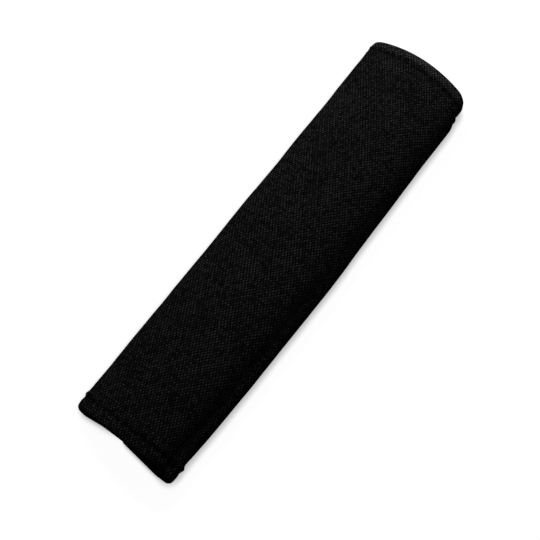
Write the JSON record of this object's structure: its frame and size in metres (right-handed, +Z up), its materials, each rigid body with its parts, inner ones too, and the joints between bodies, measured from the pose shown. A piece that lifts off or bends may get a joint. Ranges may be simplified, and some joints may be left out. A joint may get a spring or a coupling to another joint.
{
  "type": "seat belt shoulder pad",
  "caption": "Soft padded sleeve of woven black cloth that wraps round a car belt, with a stitched hem at each open end and a hook-and-loop closure underneath.",
  "frame": {"origin": "middle of the footprint, on the surface that the sleeve lies on", "axes": "+X along the belt, towards the end that is upper right in the picture; +Y towards the tighter side fold; +Z up, out of the smooth face that is seen when worn"},
  "size_m": [0.2808, 0.0692, 0.0207],
  "materials": {
    "cover_cloth": "coarse plain-weave polyester, matte with a faint sheen",
    "foam": "open-cell foam sheet, matte",
    "lining_cloth": "smooth knitted lining, matte",
    "hook_strip": "woven strip with stiff nylon hooks",
    "loop_strip": "soft brushed nylon loops",
    "thread": "twisted polyester sewing thread"
  },
  "bodies": {
    "root": {"outer_cover": "cover_cloth", "foam_padding": "foam", "inner_lining": "lining_cloth", "hook_tape": "hook_strip", "loop_tape": "loop_strip"}
  },
  "joints": []
}
